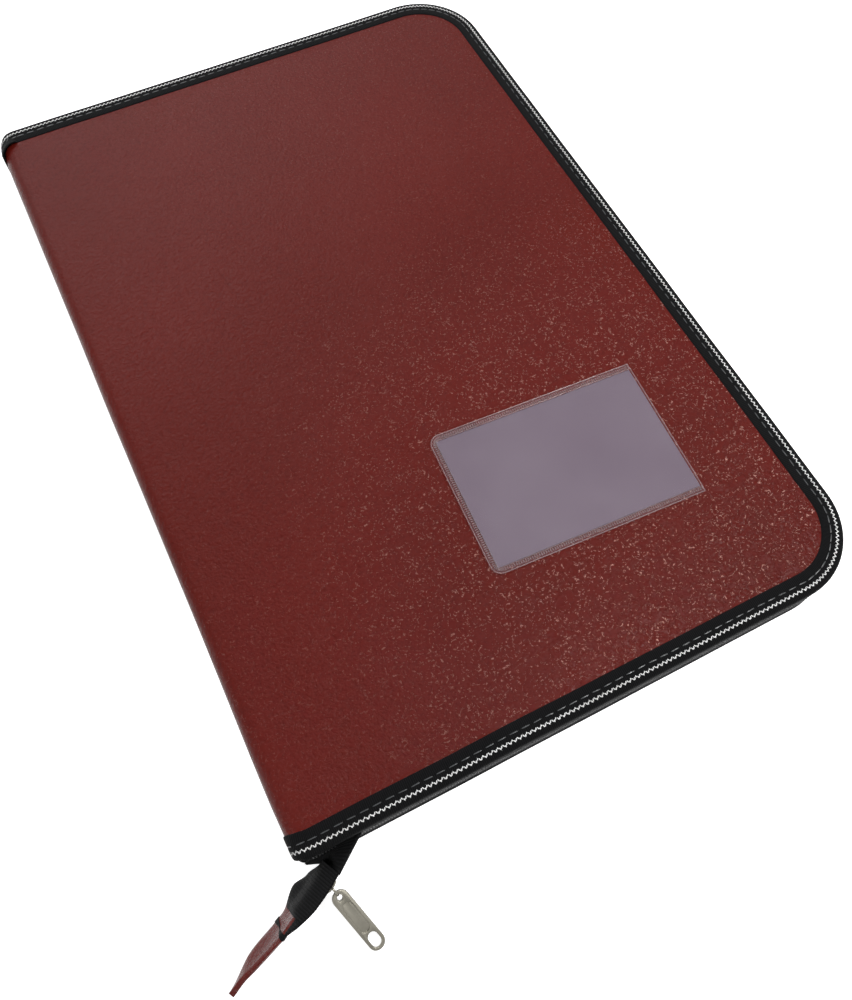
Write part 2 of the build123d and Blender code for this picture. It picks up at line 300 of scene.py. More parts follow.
def thread():
    material, shader = new_material("black_thread", (0.03, 0.033, 0.036), 0.32, specular=0.7)
    twist = texture(material, "ShaderNodeTexNoise", place(material), 3000, Detail=1.0)
    bump(material, shader, twist.outputs["Fac"], 0.00008, 0.5)
    paint(material, shader, twist.outputs["Fac"], (0.02, 0.022, 0.024), (0.07, 0.075, 0.08))
    return material


def nylon():
    material, shader = new_material("black_nylon", (0.012, 0.012, 0.013), 0.38, specular=0.5)
    spots = texture(material, "ShaderNodeTexNoise", place(material), 700, Detail=2.0)
    bump(material, shader, spots.outputs["Fac"], 0.00005, 0.4)
    sheen(material, shader, spots.outputs["Fac"], 0.3, 0.48)
    return material


def nickel():
    material, shader = new_material("worn_nickel", (0.24, 0.225, 0.19), 0.3, metallic=1.0)
    where = place(material)
    cast = texture(material, "ShaderNodeTexNoise", where, 520, Detail=3.0)
    stains = texture(material, "ShaderNodeTexNoise", where, 150, Detail=4.0)
    bump(material, shader, cast.outputs["Fac"], 0.00006, 0.5)
    paint(material, shader, stains.outputs["Fac"], (0.17, 0.16, 0.132), (0.27, 0.255, 0.213))
    sheen(material, shader, stains.outputs["Fac"], 0.42, 0.22)
    return material


def clear_film(name, tint, alpha, haze):
    material, shader = new_material(name, tint, haze, specular=0.6)
    where = place(material)
    ripple = texture(material, "ShaderNodeTexNoise", where, 35, Detail=2.0)
    specks = texture(material, "ShaderNodeTexNoise", where, 900, Detail=2.0)
    low = bump(material, shader, ripple.outputs["Fac"], 0.0006, 0.25)
    bump(material, shader, specks.outputs["Fac"], 0.00003, 0.3, low)
    sheen(material, shader, specks.outputs["Fac"], haze, haze + 0.1)
    cloud = spread(material, ripple.outputs["Fac"], 0.3, 0.7, alpha * 0.85, alpha * 1.15)
    link(material, cloud, shader.inputs["Alpha"])
    return material


def card_stock():
    material, shader = new_material("grey_card", (0.235, 0.185, 0.235), 0.55, specular=0.3)
    where = place(material)
    fibre = texture(material, "ShaderNodeTexNoise", where, 900, Detail=3.0)
    clouds = texture(material, "ShaderNodeTexNoise", where, 30, Detail=4.0)
    paint(material, shader, clouds.outputs["Fac"], (0.172, 0.126, 0.170), (0.205, 0.156, 0.202), 0.3, 0.72)
    bump(material, shader, fibre.outputs["Fac"], 0.00004, 0.5)
    return material


def greyboard():
    material, shader = new_material("greyboard", (0.33, 0.29, 0.24), 0.9, specular=0.2)
    where = place(material)
    fibre = texture(material, "ShaderNodeTexNoise", where, 500, Detail=5.0)
    paint(material, shader, fibre.outputs["Fac"], (0.25, 0.22, 0.18), (0.40, 0.36, 0.30))
    bump(material, shader, fibre.outputs["Fac"], 0.0001, 0.4)
    return material


def moulded_black():
    material, shader = new_material("moulded_black", (0.018, 0.018, 0.019), 0.5)
    grain = texture(material, "ShaderNodeTexNoise", place(material), 1200, Detail=2.0)
    bump(material, shader, grain.outputs["Fac"], 0.00005, 0.4)
    sheen(material, shader, grain.outputs["Fac"], 0.42, 0.58)
    return material


LEATHER = leatherette()
BINDING = woven_tape("ribbed_binding")
ZIP_CLOTH = woven_tape("zip_cloth", ZIP_RIB_PITCH, 0.00009)
LINING = plain_weave("lining_cloth", (0.020, 0.020, 0.022), (0.032, 0.032, 0.035))
COTTON = cotton()
THREAD = thread()
NYLON = nylon()
NICKEL = nickel()
POCKET_FILM = clear_film("pocket_clear_film", (0.5, 0.46, 0.52), 0.03, 0.2)
WELD_FILM = clear_film("welded_film", (0.60, 0.46, 0.48), 0.30, 0.25)
SLEEVE_FILM = clear_film("sleeve_clear_film", (0.75, 0.76, 0.78), 0.28, 0.16)
CARD = card_stock()
BOARD = greyboard()
PLASTIC = moulded_black()


# Meshes

def new_piece(name, points, faces, material, smooth=True, uvs=None):
    mesh = bpy.data.meshes.new(name)
    mesh.from_pydata([tuple(point) for point in points], [], faces)
    mesh.validate()
    if uvs is not None:
        layer = mesh.uv_layers.new(name="run")
        for corner in mesh.loops:
            layer.data[corner.index].uv = uvs[corner.vertex_index]
    piece = bpy.data.objects.new(name, mesh)
    bpy.context.scene.collection.objects.link(piece)
    mesh.materials.append(material)
    if smooth:
        mesh.shade_smooth()
        mesh.set_sharp_from_angle(angle=math.radians(42))
    return piece


def fix_normals(piece):
    work = bmesh.new()
    work.from_mesh(piece.data)
    bmesh.ops.remove_doubles(work, verts=work.verts, dist=1e-7)
    bmesh.ops.recalc_face_normals(work, faces=work.faces)
    work.to_mesh(piece.data)
    work.free()


def settle(piece, body, *replaced):
    fix_normals(piece)
    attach(piece, body)
    if replaced:
        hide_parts(*replaced)


def slab_faces(rows, columns):
    # A sheet of two layers, each of rows + 1 by columns + 1 points, closed round its edge
    across = columns + 1
    shift = (rows + 1) * across
    faces = []
    for i in range(rows):
        for j in range(columns):
            a = i * across + j
            faces.append((a, a + 1, a + across + 1, a + across))
            faces.append((shift + a, shift + a + across, shift + a + across + 1, shift + a + 1))
    for i in range(rows):
        for j in (0, columns):
            a = i * across + j
            faces.append((a, a + across, shift + a + across, shift + a))
    for j in range(columns):
        for i in (0, rows):
            a = i * across + j
            faces.append((a, a + 1, shift + a + 1, shift + a))
    return faces


def loft_faces(rings, count, first=0):
    # A skin over a row of closed rings of count points each, with its two ends closed
    faces = []
    for i in range(rings - 1):
        a = first + i * count
        for j in range(count):
            k = (j + 1) % count
            faces.append((a + j, a + k, a + count + k, a + count + j))
    last = first + (rings - 1) * count
    faces.append(tuple(reversed(range(first, first + count))))
    faces.append(tuple(range(last, last + count)))
    return faces


class Station:
    """A place on a cover's edge: point on the outer face, outward and up directions, length so far."""

    def __init__(self, point, outward, up):
        self.point = Vector(point)
        self.outward = Vector(outward)
        self.up = Vector(up)
        self.length = 0.0

    def at(self, inset, height):
        return self.point - self.outward * inset + self.up * height


def line(first, last, outward, up, step):
    first, last = Vector(first), Vector(last)
    count = max(1, round((last - first).length / step))
    return [Station(first.lerp(last, i / count), outward, up) for i in range(count)]


def draw_in(station, along, top):
    # Moves a station in by the dip and turns its outward direction to stay square to the edge
    small = 0.2 * MM
    slope = (dip(along + small, top) - dip(along - small, top)) / (2 * small)
    forward = station.up.cross(station.outward)
    towards_spine = forward if forward.dot(Vector((-1, 0, -1))) > 0 else -forward
    station.point -= station.outward * dip(along, top)
    station.outward = (station.outward + towards_spine * slope).normalized()


def edge_path(side, step, start="spine"):
    # From the spine at the bottom, round the three free edges, to the spine at the top
    bottom = []
    if start == "spine":
        bottom += line((SPINE_X, -HALF, MIDDLE), (SPINE_X, -HALF, TOP - FOLD), (0, -1, 0), (-1, 0, 0), step)
        count = max(8, round(math.pi / 2 * FOLD / step))
        for i in range(count):
            angle = math.pi / 2 * i / count
            point = (FLAT_X - FOLD * math.cos(angle), -HALF, TOP - FOLD + FOLD * math.sin(angle))
            bottom.append(Station(point, (0, -1, 0), (-math.cos(angle), 0, math.sin(angle))))
        start_x = FLAT_X
    else:
        start_x = start
    bottom += line((start_x, -HALF, TOP), (FORE_X - CORNER, -HALF, TOP), (0, -1, 0), (0, 0, 1), step)
    count = max(12, round(math.pi / 2 * CORNER / step))
    for i in range(count):
        angle = -math.pi / 2 + math.pi / 2 * i / count
        outward = Vector((math.cos(angle), math.sin(angle), 0))
        centre = Vector((FORE_X - CORNER, -HALF + CORNER, TOP))
        bottom.append(Station(centre + outward * CORNER, outward, (0, 0, 1)))
    bottom += line((FORE_X, -HALF + CORNER, TOP), (FORE_X, 0, TOP), (1, 0, 0), (0, 0, 1), step)
    middle = Station((FORE_X, 0, TOP), (1, 0, 0), (0, 0, 1))
    flip = Vector((1, -1, 1))
    upper = [Station(s.point * flip, s.outward * flip, s.up * flip) for s in reversed(bottom)]
    stations = bottom + [middle] + upper
    for station in stations:
        along = developed(station.point)
        if along > -DIP_START:
            draw_in(station, along, station.point.y > 0)
    for before, after in zip(stations, stations[1:]):
        after.length = before.length + (after.point - before.point).length
    if side == "back":
        for station in stations:
            station.point.z = TOP - station.point.z
            station.up.z = -station.up.z
            station.outward.z = -station.outward.z
    return stations


def dip(along, top):
    # How far the sheet's edge draws in towards the spine's ends, along measured from the fold's start
    full = (9.0 if top else 2.5) * MM
    reach = math.pi / 2 * FOLD + MIDDLE - FOLD
    return full * smooth_step((along + DIP_START) / (reach + DIP_START))


def smooth_step(value):
    value = min(1.0, max(0.0, value))
    return value * value * (3 - 2 * value)


def developed(point):
    # Distance from the fold's start, measured along the outer face towards the middle of the spine
    if point.x > FLAT_X:
        return FLAT_X - point.x
    if point.z < TOP - FOLD:
        return math.pi / 2 * FOLD + TOP - FOLD - point.z
    return FOLD * math.atan2(FLAT_X - point.x, point.z - (TOP - FOLD))


def wander(station, amount):
    # Slow uneven drift, so that long edges aren't ruled lines
    return noise.noise(station.point * 28) * amount


def sweep(name, stations, profile, material, drift=0.0, rib=0.0, ribbed=()):
    # ribbed names the points of the profile that rise and fall from station to station
    points, uvs = [], []
    around = [0.0]
    for before, after in zip(profile, profile[1:]):
        around.append(around[-1] + math.dist(before, after))
    for number, station in enumerate(stations):
        shift = wander(station, drift)
        for place_in_profile, ((inset, height), across) in enumerate(zip(profile, around)):
            raised = rib * (1 if number % 2 else -1) if place_in_profile in ribbed else 0.0
            if height > -MM:
                points.append(station.at(inset + shift, height + raised))
            else:
                points.append(station.at(inset + shift - raised, height))
            uvs.append((station.length, across))
    return new_piece(name, points, loft_faces(len(stations), len(profile)), material, uvs=uvs)


def at_length(stations, length, cursor):
    while cursor < len(stations) - 2 and stations[cursor + 1].length < length:
        cursor += 1
    before, after = stations[cursor], stations[cursor + 1]
    part = (length - before.length) / max(1e-9, after.length - before.length)
    made = Station(
        before.point.lerp(after.point, part),
        before.outward.lerp(after.outward, part).normalized(),
        before.up.lerp(after.up, part).normalized(),
    )
    made.length = length
    return made, cursor


def resample(stations, pitch, margin=0.0):
    total = stations[-1].length - 2 * margin
    count = max(1, round(total / pitch))
    cursor, made = 0, []
    for i in range(count + 1):
        station, cursor = at_length(stations, margin + total * i / count, cursor)
        made.append(station)
    return made


def zigzag(name, stations, middle_inset, height, material):
    # Rickrack braid: a flat band that swings from side to side along the tape
    pitch, swing, half_band, thick = 2.15 * MM, 0.44 * MM, 0.52 * MM, 0.4 * MM
    per_wave = 8
    path = resample(stations, pitch / per_wave)
    points = []
    section = [(-1, -0.5), (-0.75, 0.35), (0, 0.6), (0.75, 0.35), (1, -0.5)]
    for i, station in enumerate(path):
        phase = math.tau * i / per_wave
        sway = math.sin(phase) - 0.1 * math.sin(3 * phase)
        inset = middle_inset + swing * sway + wander(station, 0.3 * MM)
        wide = half_band * (1.0 + 0.15 * abs(math.cos(phase)))
        for across, high in section:
            points.append(station.at(inset + across * wide, height + high * thick))
    return new_piece(name, points, loft_faces(len(path), len(section)), material)


def bead(points, faces, centre, along, across, up, size, sides=8):
    # A short rounded bar: three rings and two ends
    half_length, half_width, half_height = size
    first = len(points)
    rings = ((-1.0, 0.35), (-0.72, 0.85), (0.0, 1.0), (0.72, 0.85), (1.0, 0.35))
    for where, grow in rings:
        for j in range(sides):
            angle = math.tau * j / sides
            points.append(
                centre
                + along * (where * half_length)
                + across * (math.cos(angle) * half_width * grow)
                + up * (math.sin(angle) * half_height * grow)
            )
    faces += loft_faces(len(rings), sides, first)


def stitches(name, stations, inset, height):
    stitch, gap = 3.6 * MM, 1.7 * MM
    points, faces = [], []
    for station in resample(stations, stitch + gap, 3 * MM):
        along = station.up.cross(station.outward).normalized()
        tilt = noise.noise(station.point * 900) * 0.12
        along = (along + station.outward * tilt).normalized()
        across = station.up.cross(along)
        centre = station.at(inset + wander(station, 0.5 * MM), height)
        bead(points, faces, centre, along, across, station.up, (stitch / 2, 0.28 * MM, 0.2 * MM), 6)
    return new_piece(name, points, faces, THREAD)


def teeth(name, stations, inset, height):
    pitch = 1.25 * MM
    points, faces = [], []
    for station in resample(stations, pitch, 0.5 * MM):
        along = station.up.cross(station.outward).normalized()
        slant = (station.outward + along * 0.22).normalized()
        side = station.up.cross(slant)
        size = (0.85 * MM, 0.5 * MM, 0.68 * MM)
        bead(points, faces, station.at(inset, height), slant, side, station.up, size, 6)
    return new_piece(name, points, faces, NYLON)


# Covers

# How far the tape stands out of the cover, and how far the folder's weight presses it back in
LIP = 0.38 * MM
LIFT = {"front": 0.0, "back": -0.62 * MM}
SKIN = 0.8 * MM
SKIN_UNDER = 0.6 * MM


def across_fold(piece, side):
    # Bakes a piece's placing into its mesh, the same for either side
    if side == "front":
        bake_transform(piece)
    else:
        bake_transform(piece)


def cover_leather(side):
    inset = LEG - SKIN_UNDER
    right, radius = FORE_X - inset, CORNER - inset
    # Columns from the fore edge to the spine: x on the flat, then the roll's angle, then the height
    columns = []
    turned, straight, wall = 22, 52, 5
    for i in range(turned):
        angle = math.pi / 2 * i / turned
        columns.append((right - radius + radius * math.cos(angle), None))
    for i in range(straight + 1):
        columns.append((right - radius + (FLAT_X - right + radius) * i / straight, None))
    for i in range(1, 11):
        columns.append((None, math.pi / 2 * i / 10))
    for i in range(1, wall + 1):
        columns.append((None, (TOP - FOLD) + (MIDDLE - TOP + FOLD) * i / wall))
    rows = 110
    outer, inner = [], []
    for number, (x, other) in enumerate(columns):
        if x is not None:
            reach = HALF - inset
            if x > right - radius:
                reach = HALF - inset - radius + math.sqrt(max(0.0, radius**2 - (x - right + radius) ** 2))
            base, up = Vector((x, 0, TOP)), Vector((0, 0, 1))
        elif number <= len(columns) - 1 - wall:
            base = Vector((FLAT_X - FOLD * math.sin(other), 0, TOP - FOLD + FOLD * math.cos(other)))
            up = Vector((-math.sin(other), 0, math.cos(other)))
            reach = HALF - inset
        else:
            base, up = Vector((SPINE_X, 0, other)), Vector((-1, 0, 0))
            reach = HALF - inset
        along = developed(base)
        low_reach, high_reach = dip(along, False) - reach, reach - dip(along, True)
        for j in range(rows + 1):
            y = low_reach + (high_reach - low_reach) * j / rows
            point = base + Vector((0, y, 0))
            edge = min(y - low_reach, high_reach - y, abs(FORE_X - inset - point.x)) / (14 * MM)
            calm = smooth_step(edge)
            if base.x <= SPINE_X + 1e-6:
                calm *= smooth_step(abs(base.z - MIDDLE) / (4 * MM))
            puff = (0.35 + 0.55 * noise.noise(point * 16)) * 0.55 * MM * calm
            outer.append(point + up * puff)
            inner.append(point - up * SKIN)
    points = outer + inner
    if side == "back":
        for point in points:
            point.z = TOP - point.z + 0.45 * MM * smooth_step((FOLD - (TOP - point.z)) / FOLD)
    faces = slab_faces(len(columns) - 1, rows)
    piece = new_piece(f"{side}_leather", points, faces, LEATHER)
    fix_normals(piece)
    across_fold(piece, side)
    return piece


def cover_binding(side):
    lift = LIFT[side]
    profile = [
        (LEG + 0.25 * MM, -0.15 * MM), (LEG, 0.2 * MM), (LEG - 0.5 * MM, LIP), (6.4 * MM, LIP),
        (5.75 * MM, LIP - 0.16 * MM), (5.1 * MM, LIP), (3.9 * MM, LIP), (2.5 * MM, 0.32 * MM),
        (1.3 * MM, 0.18 * MM), (0.55 * MM, -0.15 * MM), (0.12 * MM, -0.75 * MM), (0, -1.7 * MM),
        (0.1 * MM, -2.7 * MM), (0.45 * MM, -3.25 * MM), (1.0 * MM, -3.4 * MM), (6.0 * MM, -3.4 * MM),
        (6.0 * MM, -3.05 * MM), (0.9 * MM, -3.05 * MM), (0.9 * MM, -0.6 * MM), (LEG, -0.6 * MM),
    ]
    if side == "back":
        profile = [(a, b + lift * smooth_step((b + 2.4 * MM) / (2 * MM))) for a, b in profile]
    stations = edge_path(side, PATH_STEP)
    ribs = resample(stations, RIB_PITCH / 2)
    tape = sweep(
        f"{side}_edge_binding", ribs, profile, BINDING, 0.22 * MM, 0.05 * MM, range(1, 13)
    )
    braid = zigzag(f"{side}_rickrack", stations, BRAID_INSET, 0.18 * MM + lift, COTTON)
    seam = stitches(f"{side}_binding_stitches", stations, 5.75 * MM, LIP - 0.16 * MM + lift)
    for piece in (tape, braid, seam):
        for vertex in piece.data.vertices:
            vertex.co.z = max(vertex.co.z, 0.0)    # pressed flat where it bulges onto the table
        fix_normals(piece)
        across_fold(piece, side)
    return tape, braid


def cover_zip(side):
    depth = TOP - coil_low.z
    coil_top = TOP - coil_high.z
    profile = [
        (0.95 * MM, -3.42 * MM), (0.55 * MM, -3.9 * MM), (0.3 * MM, -5.2 * MM), (0.28 * MM, -7 * MM),
        (0.45 * MM, -8.8 * MM), (0.6 * MM, -coil_top), (1.25 * MM, -coil_top), (1.1 * MM, -8.8 * MM),
        (0.95 * MM, -7 * MM), (1.0 * MM, -5.2 * MM), (1.3 * MM, -4.15 * MM), (7.5 * MM, -4.1 * MM),
        (7.5 * MM, -3.42 * MM),
    ]
    stations = resample(edge_path(side, PATH_STEP, WALL_X), ZIP_RIB_PITCH / 2)
    rise = 0.04 * MM
    tape = sweep(f"{side}_zip_cloth", stations, profile, ZIP_CLOTH, 0, rise, range(1, 5))
    settle(tape, BODY[side])
    coil_path = edge_path(side, PATH_STEP, max(COIL_X, FLAT_X))
    middle = -(coil_top + depth) / 2
    low, high = middle - 0.3 * MM, middle + 0.45 * MM
    core = [(0.65 * MM, low), (1.35 * MM, low), (1.35 * MM, high), (0.65 * MM, high)]
    settle(sweep(f"{side}_coil_core", coil_path, core, NYLON), BODY[side])
    row = teeth(f"{side}_coil_teeth", coil_path, 1.0 * MM, middle)
    settle(row, BODY[side])
    return tape, row


def covers():
    for side in ("front", "back"):
        skin = cover_leather(side)
        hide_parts(f"{side}_skin", "spine_skin")
        tape, braid = cover_binding(side)
        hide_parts(f"{side}_binding", "spine_binding")
        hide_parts(f"{side}_zigzag_braid")
        wall, row = cover_zip(side)
        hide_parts(f"{side}_zip_tape")
        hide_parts(f"{side}_zip_coil")


covers()


# Spine wall and the metal stops at the top end of the spine

def spine_layer(name, low_x, high_x, end_gap, material, node_name):
    # A strip of the spine wall whose ends are drawn in like the cover's edge
    low_z, high_z = (corner.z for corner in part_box(node_name))
    points = []
    rows, columns = 12, 48
    for x in (low_x, high_x):
        for i in range(rows + 1):
            z = low_z + (high_z - low_z) * i / rows
            along = math.pi / 2 * FOLD + max(0.0, MIDDLE - FOLD - abs(z - MIDDLE))
            low = -HALF + end_gap + dip(along, False)
            high = HALF - end_gap - dip(along, True)
            for j in range(columns + 1):
                points.append((x, low + (high - low) * j / columns, z))
    piece = new_piece(name, points, slab_faces(rows, columns), material)
    settle(piece, "spine", node_name)


def stop(side):
    # A crimped metal stop round the zip's edge
    station = edge_path(side, PATH_STEP, FLAT_X)[-1]
    points, faces = [], []
    depth = (TOP - coil_low.z + TOP - coil_high.z) / 2
    for inset, wide in ((0.35, 0.32), (1.0, 0.5), (1.6, 0.32)):
        centre = station.at(inset * MM, -depth)
        size = (1.0 * MM, wide * MM, 0.95 * MM)
        bead(points, faces, centre, Vector((1, 0, 0)), station.outward, station.up, size)
    piece = new_piece(f"{side}_metal_stop", points, faces, NICKEL)
    settle(piece, BODY[side], f"{side}_zip_stop")


board_low, board_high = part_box("spine_board")
spine_layer("spine_stiffener", board_low.x, board_high.x, 0.9 * MM, BOARD, "spine_board")
cloth_x = board_high.x + 0.4 * MM
spine_layer("spine_cloth", board_high.x, cloth_x, 0.6 * MM, LINING, "spine_lining")
stop("front")
stop("back")


# Loose end of the zip: s runs towards its tip, c across the tape and up, n out of its face

travel = hinge("slider_travel")
pull_turn = hinge("pull_swing")
RUN = Vector(travel["axis"]).normalized()
ACROSS = Vector(pull_turn["axis"]).normalized()
OUT = RUN.cross(ACROSS).normalized()
OUT = OUT if OUT.z < 0 else -OUT
EYE = Vector(pull_turn["pos_m"])
EYE_HEIGHT = 5.0 * MM
TAIL = EYE - OUT * EYE_HEIGHT


def on_tail(s, c, n):
    return TAIL + (RUN * s + ACROSS * c + OUT * n) * MM


def between(stops, value, bend=smooth_step):
    # Curve through a few (place, amount) pairs
    if value <= stops[0][0]:
        return stops[0][1]
    for (before, low), (after, high) in zip(stops, stops[1:]):
        if value <= after:
            return low + (high - low) * bend((value - before) / (after - before))
    return stops[-1][1]


LOW_FLARE = ((-5, 0.0), (2, -2.3), (8, -4.3), (18, -1.2), (34, -2.2), (50, 0.6))
HIGH_FLARE = ((-10, 1.2), (4, 2.2), (24, 2.1), (50, 0.9))
TOP_EDGE = ((-10, 11.6), (9, 11.6), (18, 8.2), (32, 0.2), (44, -7.4), (50, -11.3))


def tail_point(s, c, thick=0.0):
    # Flat where the slider runs, flaring to its two edges
    if c < 0:
        flare = between(LOW_FLARE, s) * smooth_step((-c - 4) / 8.5)
    else:
        flare = between(HIGH_FLARE, s) * smooth_step((c - 4) / 7.5)
    return on_tail(s, c, flare + thick)


def tail_sheet(name, start, end, low, high, thickness, material, rib=0.0):
    # A strip of the loose end; start, low and high are given along s or c by functions
    rows, columns = 14, max(8, round(end / 0.5))
    points, uvs = [], []
    for side in (-1, 1):
        for j in range(rows + 1):
            for i in range(columns + 1):
                share = i / columns
                c_guess = low(0) + (high(0) - low(0)) * j / rows
                s = start(c_guess) + (end - start(c_guess)) * share
                c = low(s) + (high(s) - low(s)) * j / rows
                rounding = math.sqrt(max(0.05, 1 - (2 * j / rows - 1) ** 8))
                wave = 1 + rib * (1 if i % 2 else -1)
                points.append(tail_point(s, c, side * thickness / 2 * rounding * wave))
                uvs.append((s * MM, c * MM))
    faces = slab_faces(rows, columns)
    return new_piece(name, points, faces, material, uvs=uvs)


def tail_cover(begin, end, top):
    # Second layer of cloth behind the slider, sewn to both edges of the loose end
    rows, columns = 20, 42
    points, uvs = [], []
    for layer in (0, 1):
        for j in range(rows + 1):
            for i in range(columns + 1):
                s = begin + (end - begin) * i / columns
                c = -12.2 + (top(s) + 12.1) * j / rows
                bulge = 2.6 * (1 - abs(2 * j / rows - 1) ** 2.2)
                stand_off = bulge * smooth_step((end + 2.5 - s) / 5) + 0.5
                rib = 0.02 if i % 2 else -0.02
                points.append(tail_point(s, c, -stand_off + rib + 0.5 * layer))
                uvs.append((s * MM, c * MM))
    faces = slab_faces(rows, columns)
    piece = new_piece("tail_cover_cloth", points, faces, ZIP_CLOTH, uvs=uvs)
    settle(piece, "loose_end")


def loose_end():
    def top(s):
        return between(TOP_EDGE, s, lambda share: share)

    begin = -5.4
    upper = tail_sheet(
        "tail_front_cloth", lambda c: begin, 24, lambda s: 1.0, top, 0.9, ZIP_CLOTH, 0.1
    )
    lower = tail_sheet(
        "tail_back_cloth", lambda c: begin, 18, lambda s: -12.3, lambda s: -1.0, 0.9,
        ZIP_CLOTH, 0.1,
    )
    settle(upper, "loose_end", "tail_front_tape")
    settle(lower, "loose_end", "tail_back_tape")
    tail_cover(begin, 15.5, top)
    slant = (ACROSS + RUN * 0.2).normalized()
    points, faces = [], []
    for number in range(17):
        s = begin + 1.0 + number * 1.15
        for side in (-1, 1):
            centre = on_tail(s + 0.3 * side, 1.6 * side, 0)
            bead(points, faces, centre, slant, RUN, OUT, (0.75 * MM, 0.42 * MM, 0.88 * MM))
    row = new_piece("tail_teeth", points, faces, NYLON)
    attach(row, "loose_end")
    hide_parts("tail_coil")

    def tab_top(s):
        return min(5.2, top(s) + 0.25)

    tab = tail_sheet(
        "tail_leather_tab", lambda c: 13.4 + (c + 12) * 0.13, 50,
        lambda s: -12.5 + max(0.0, s - 44) * 0.1, tab_top, 2.3, LEATHER,
    )
    band = tail_sheet(
        "tail_black_band", lambda c: 19.6 + (c + 12) * 0.26, 22.0,
        lambda s: -12.7, lambda s: tab_top(s) + 0.2, 2.9, BINDING,
    )
    settle(tab, "loose_end", "tail_tab")
    settle(band, "loose_end", "tail_tab_band")


def tail_web():
    # The cloth between the bottom wall and the loose end, drawn out of the covers' opening
    rows, columns = 16, 16
    points, uvs = [], []
    wall_low = Vector((SPINE_X + 2.2 * MM, -HALF + 0.6 * MM, MIDDLE - 7.5 * MM))
    wall_high = Vector((SPINE_X + 26.5 * MM, -HALF + 0.6 * MM, MIDDLE + 6.5 * MM))
    for side in (-1, 1):
        for j in range(rows + 1):
            share = j / rows
            c = -12 + 23.6 * share
            if abs(c) < 1.2:
                c = math.copysign(1.2, c)
            near = wall_low.lerp(wall_high, share)
            far = tail_point(-5.2, c)
            for i in range(columns + 1):
                t = i / columns
                sag = math.sin(math.pi * t) * (0.8 * math.sin(math.pi * share * 2)) * MM
                puff = side * 0.5 * MM
                points.append(near.lerp(far, t) + OUT * (sag + puff))
                uvs.append((t * 12 * MM, c * MM))
    faces = slab_faces(rows, columns)
    web = new_piece("tail_web", points, faces, ZIP_CLOTH, uvs=uvs)
    fix_normals(web)
    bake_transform(web)
    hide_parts("tail_gusset")


loose_end()
tail_web()


# Slider and pull, cut from plate with softened edges

def arc(middle, radius, first, last, count=14):
    return [
        (
            middle[0] + radius * math.cos(math.radians(first + (last - first) * i / count)),
            middle[1] + radius * math.sin(math.radians(first + (last - first) * i / count)),
        )
        for i in range(count + 1)
    ]


def plate(name, outline, holes, middle, half_thick, soft, place_of):
    # Bevelled plate with holes; outlines in mm, place_of turns (x, y, z) into the part's space
    curve = bpy.data.curves.new(name, "CURVE")
    curve.dimensions = "2D"
    curve.fill_mode = "BOTH"
    curve.extrude = half_thick - soft
    curve.bevel_depth = soft
    curve.bevel_resolution = 2
    for loop in [outline, *holes]:
        spline = curve.splines.new("POLY")
        spline.points.add(len(loop) - 1)
        for point, (x, y) in zip(spline.points, loop):
            point.co = (x, y, 0, 1)
        spline.use_cyclic_u = True
    holder = bpy.data.objects.new(name, curve)
    bpy.context.scene.collection.objects.link(holder)
    bpy.context.view_layer.update()
    mesh = bpy.data.meshes.new_from_object(holder.evaluated_get(bpy.context.evaluated_depsgraph_get()))
    points = [place_of(v.co.x, v.co.y, v.co.z + middle) for v in mesh.vertices]
    faces = [tuple(face.vertices) for face in mesh.polygons]
    bpy.data.objects.remove(holder)
    bpy.data.curves.remove(curve)
    bpy.data.meshes.remove(mesh)
    return points, faces


def gather(name, parts, material, slot, body, *replaced):
    points, faces = [], []
    for more_points, more_faces in parts:
        first = len(points)
        points += more_points
        faces += [tuple(first + index for index in face) for face in more_faces]
    settle(new_piece(name, points, faces, material), body, *replaced)


def tube(path, radius, sides=10):
    points = []
    for i, point in enumerate(path):
        before, after = path[max(0, i - 1)], path[min(len(path) - 1, i + 1)]
        along = (after - before).normalized()
        side = along.cross(ACROSS)
        side = (side if side.length > 1e-3 else along.cross(RUN)).normalized()
        other = along.cross(side)
        for j in range(sides):
            angle = math.tau * j / sides
            points.append(point + (side * math.cos(angle) + other * math.sin(angle)) * radius)
    return points, loft_faces(len(path), sides)


def slider():
    shield = (
        arc((-3.2, 2.5), 1.8, 90, 180, 6) + arc((-3.2, -2.5), 1.8, 180, 270, 6)
        + arc((3.8, -2.3), 1.2, 270, 360, 6) + arc((3.8, 2.3), 1.2, 0, 90, 6)
    )
    parts = [plate("shield", shield, [], side * 1.68, 0.45, 0.16, on_tail) for side in (-1, 1)]
    for side in (-1, 1):
        for n in (1.45, -1.45):
            rail = [on_tail(s, side * (4.05 - 0.07 * (s + 5)), n) for s in (-3.6, -1, 2, 4.4)]
            parts.append(tube(rail, 0.42 * MM))
    nose = [(-4.0, 0.0), (-3.2, 0.6), (-2.0, 0.6), (-1.4, 0.0), (-2.0, -0.6), (-3.2, -0.6)]
    parts.append(plate("nose", nose, [], 0, 1.5, 0.1, on_tail))
    gather("slider_shell", parts, NICKEL, "nickel", "slider", "slider_body")
    half_arch = ((2.9, 1.9), (2.85, 3.6), (2.3, 4.7), (1.2, 5.05))
    arch = [on_tail(-s, 0, n) for s, n in half_arch] + [on_tail(s, 0, n) for s, n in reversed(half_arch)]
    gather("slider_arch", [tube(arch, 0.55 * MM, 12)], NICKEL, "nickel", "slider", "slider_bridge")


